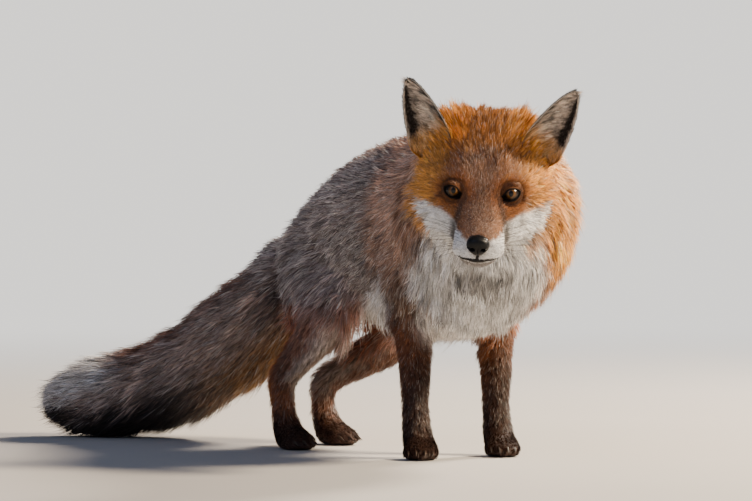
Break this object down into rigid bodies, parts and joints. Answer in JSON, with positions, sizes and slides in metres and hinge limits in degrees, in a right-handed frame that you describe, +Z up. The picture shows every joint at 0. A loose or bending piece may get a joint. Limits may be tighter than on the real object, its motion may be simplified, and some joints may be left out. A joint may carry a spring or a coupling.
{
  "type": "red fox",
  "caption": "Standing red fox, a still life-size model in a low stance with its head turned aside and its bushy tail swept to one side.",
  "frame": {"origin": "on the floor, under the middle of the box round the whole animal", "axes": "+Z up, the fox's trunk lies along Y and faces -Y, its left side is towards +X, the head is turned to -X"},
  "size_m": [0.332, 0.804, 0.402],
  "materials": {
    "rust_fur": "short to medium red-brown fur",
    "grizzled_fur": "long fur with pale tips over rust",
    "pale_fur": "short white fur",
    "tail_fur": "long brown fur with black tips",
    "tail_tip_fur": "long pale fur over black",
    "dark_fur": "short black-brown fur",
    "ear_fur": "short black fur outside, long pale hairs inside",
    "eye": "wet, clear surface over an amber iris",
    "nose_leather": "black, pebbled and moist",
    "claw": "dark horn"
  },
  "bodies": {
    "root": {"head": "rust_fur", "jaw": "pale_fur", "neck": "rust_fur", "chest": "grizzled_fur", "loins": "grizzled_fur", "tail_base": "tail_fur", "tail_brush": "tail_fur", "tail_tip": "tail_tip_fur", "foreleg_right": "rust_fur", "foreleg_left": "rust_fur", "hindleg_right": "rust_fur", "hindleg_left": "rust_fur", "forepaw_right": "dark_fur", "forepaw_left": "dark_fur", "hindpaw_right": "dark_fur", "hindpaw_left": "dark_fur", "ear_right": "ear_fur", "ear_left": "ear_fur", "eye_right": "eye", "eye_left": "eye", "nose": "nose_leather", "claw_forepaw_left_1": "claw", "claw_forepaw_left_2": "claw", "claw_forepaw_left_3": "claw", "claw_forepaw_left_4": "claw", "claw_forepaw_right_1": "claw", "claw_forepaw_right_2": "claw", "claw_forepaw_right_3": "claw", "claw_forepaw_right_4": "claw", "claw_hindpaw_left_1": "claw", "claw_hindpaw_left_2": "claw", "claw_hindpaw_left_3": "claw", "claw_hindpaw_left_4": "claw", "claw_hindpaw_right_1": "claw", "claw_hindpaw_right_2": "claw", "claw_hindpaw_right_3": "claw", "claw_hindpaw_right_4": "claw"}
  },
  "joints": []
}
